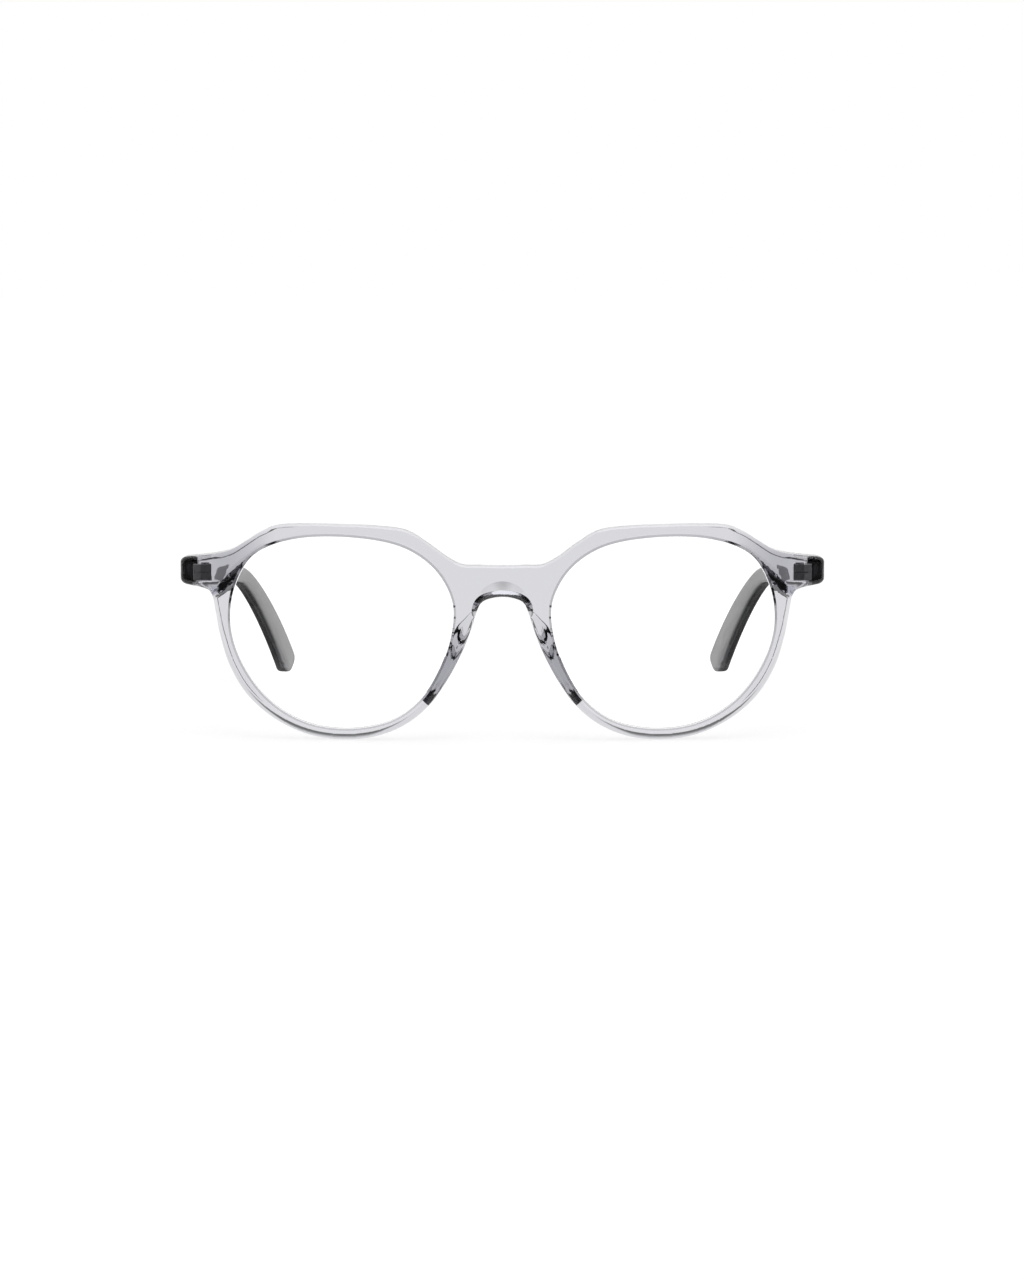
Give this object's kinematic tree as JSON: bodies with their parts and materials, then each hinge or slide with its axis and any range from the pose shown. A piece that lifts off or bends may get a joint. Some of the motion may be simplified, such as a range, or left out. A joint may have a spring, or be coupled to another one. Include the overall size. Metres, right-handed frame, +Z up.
{
  "type": "round eyeglasses",
  "caption": "Round clear grey acetate eyeglasses that hold clear lenses before the eyes, with an arched bridge, glued nose pads, metal hinges and folding temples with curved ear ends.",
  "frame": {"origin": "bottom centre of the open pair: on the surface that the rims and temple tips stand on, midway between the sides and between the front face and the tips", "axes": "+Z up, +X towards the wearer's left, and +Y from the front back to the temple tips"},
  "size_m": [0.1412, 0.1482, 0.0472],
  "materials": {
    "clear_acetate": "clear grey acetate, tumbled and polished to a high gloss",
    "lens": "clear, polished, with no tint",
    "hinge_metal": "nickel silver, stamped and barrel polished",
    "screw_steel": "turned stainless steel, satin",
    "core_metal": "flat drawn nickel silver wire, satin"
  },
  "bodies": {
    "front": {"frame_front": "clear_acetate", "nose_pad_left": "clear_acetate", "nose_pad_right": "clear_acetate", "lens_left": "lens", "lens_right": "lens", "hinge_front_leaf_left": "hinge_metal", "hinge_front_leaf_right": "hinge_metal", "hinge_screw_left": "screw_steel", "hinge_screw_right": "screw_steel"},
    "left_temple": {"temple_left": "clear_acetate", "hinge_temple_leaf_left": "hinge_metal", "core_wire_left": "core_metal"},
    "right_temple": {"temple_right": "clear_acetate", "hinge_temple_leaf_right": "hinge_metal", "core_wire_right": "core_metal"}
  },
  "joints": [
    {"name": "fold_left", "type": "hinge", "parent": "front", "child": "left_temple", "pos_m": [0.0649, -0.06109, 0.0362], "axis": [0, 0, 1], "range_deg": [0, 79]},
    {"name": "fold_right", "type": "hinge", "parent": "front", "child": "right_temple", "pos_m": [-0.0649, -0.06109, 0.0362], "axis": [0, 0, -1], "range_deg": [0, 86]}
  ]
}
